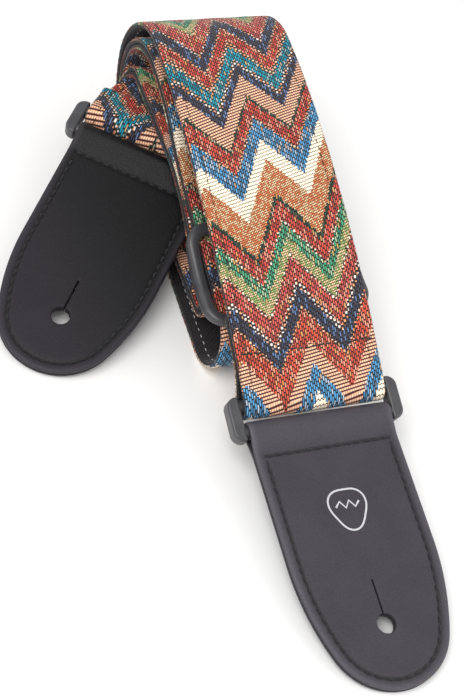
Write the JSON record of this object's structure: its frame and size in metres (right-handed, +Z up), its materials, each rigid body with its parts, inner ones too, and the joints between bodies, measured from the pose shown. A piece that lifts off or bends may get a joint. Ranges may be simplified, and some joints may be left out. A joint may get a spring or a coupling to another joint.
{
  "type": "guitar strap",
  "caption": "Adjustable woven guitar strap, coiled: patterned ribbon on webbing, slider, two plastic rings and two stitched leather ends with button holes.",
  "frame": {"origin": "middle of the footprint on the surface the strap lies on", "axes": "+Z up, +Y from the front leather tip towards the folds of the coil, +X to the right across the strap"},
  "size_m": [0.1233, 0.2549, 0.0581],
  "materials": {
    "webbing": "matte",
    "ribbon": "matte",
    "thread": "matte",
    "plastic": "satin",
    "leather": "satin",
    "board": "satin",
    "leather_thread": "matte"
  },
  "bodies": {
    "strap": {"strap_webbing": "webbing", "pattern_ribbon": "ribbon", "edge_seam_left": "thread", "edge_seam_right": "thread", "anchor_seam_stitching": "thread"},
    "slider": {"slider": "plastic", "slider_loop_webbing": "webbing", "slider_seam_stitching": "thread"},
    "front_ring": {"front_ring": "plastic"},
    "front_end": {"front_end_leather": "leather", "front_end_board": "board", "front_edge_stitching": "leather_thread", "front_cross_stitching": "leather_thread"},
    "rear_ring": {"rear_ring": "plastic"},
    "rear_end": {"rear_end_leather": "leather", "rear_end_board": "board", "rear_edge_stitching": "leather_thread", "rear_cross_stitching": "leather_thread"}
  },
  "joints": [
    {"name": "slider_travel", "type": "slide", "parent": "strap", "child": "slider", "axis": [0, -0.9613, -0.2756], "range_m": [0, 0.008]},
    {"name": "front_ring_turn", "type": "hinge", "parent": "strap", "child": "front_ring", "pos_m": [0.0286, -0.0289, 0.0192], "axis": [1, 0, 0], "range_deg": [-60, 35]},
    {"name": "front_end_turn", "type": "hinge", "parent": "front_ring", "child": "front_end", "pos_m": [0.0286, -0.03732, 0.01663], "axis": [1, 0, 0], "range_deg": [-70, 70]},
    {"name": "rear_ring_turn", "type": "hinge", "parent": "strap", "child": "rear_ring", "pos_m": [0.00772, 0.08435, 0.0242], "axis": [0.7771, -0.6293, 0], "range_deg": [-3, 0]},
    {"name": "rear_end_turn", "type": "hinge", "parent": "rear_ring", "child": "rear_end", "pos_m": [0.00225, 0.0776, 0.02282], "axis": [0.7771, -0.6293, 0], "range_deg": [-3, 0]}
  ]
}
